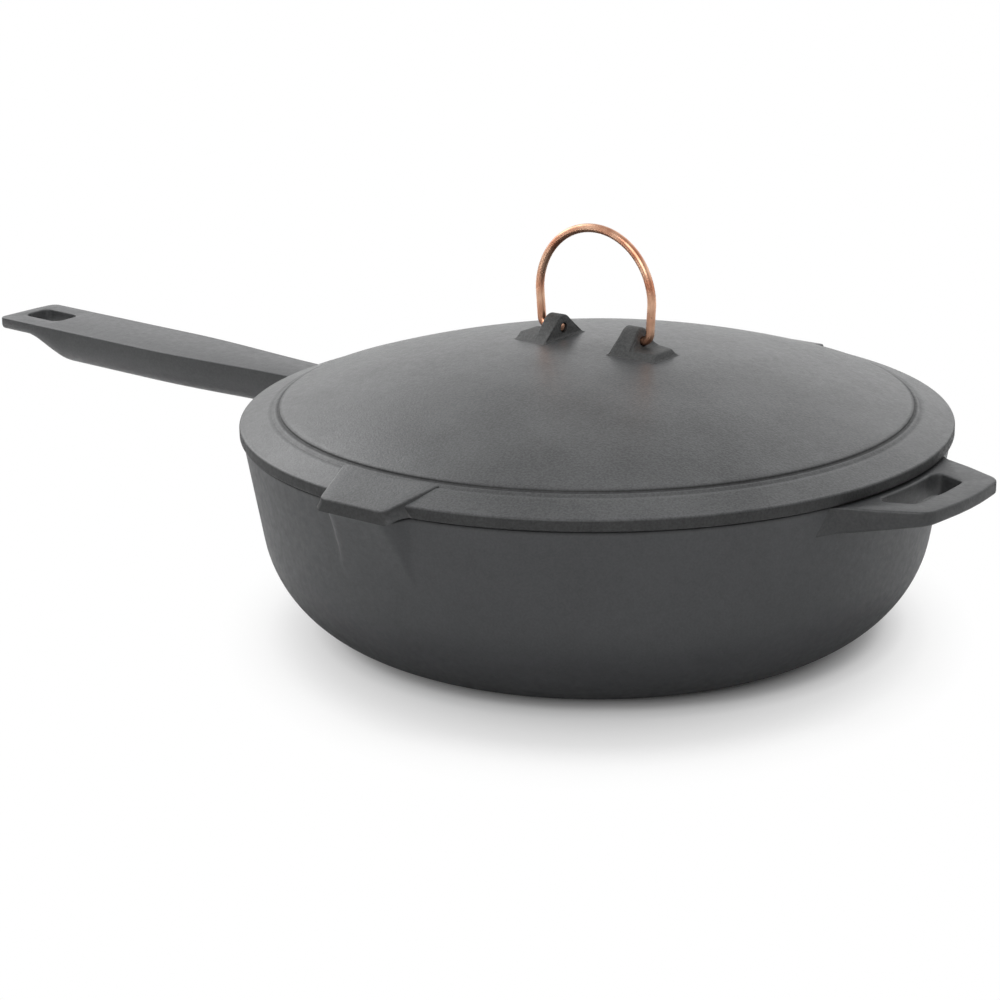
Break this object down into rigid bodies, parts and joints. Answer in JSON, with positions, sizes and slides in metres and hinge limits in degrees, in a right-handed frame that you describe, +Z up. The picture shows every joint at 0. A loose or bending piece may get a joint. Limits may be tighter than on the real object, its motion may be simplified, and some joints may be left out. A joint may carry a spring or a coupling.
{
  "type": "lidded cast iron skillet",
  "caption": "Deep round cast iron skillet with a long slotted handle, a loop helper handle, pouring lips, and a domed lid lifted by a swinging wire bail.",
  "frame": {"origin": "middle of the pan's flat underside, on the surface it stands on", "axes": "+X along the long handle, +Z up, pouring lips towards +Y and -Y"},
  "size_m": [0.5198, 0.3088, 0.1675],
  "materials": {
    "iron_pan": "matte dark grey, fine sand-cast grain",
    "iron_lid": "matte dark grey, fine sand-cast grain",
    "copper_wire": "polished copper wire"
  },
  "bodies": {
    "pan": {"pan": "iron_pan"},
    "lid": {"lid": "iron_lid"},
    "bail": {"bail": "copper_wire"}
  },
  "joints": [
    {"name": "lid_lift", "type": "slide", "parent": "pan", "child": "lid", "axis": [0, 0, 1], "range_m": [0, 0.08]},
    {"name": "bail_swing", "type": "hinge", "parent": "lid", "child": "bail", "pos_m": [0, 0, 0.12208], "axis": [1, 0, 0], "range_deg": [-95, 95]}
  ]
}
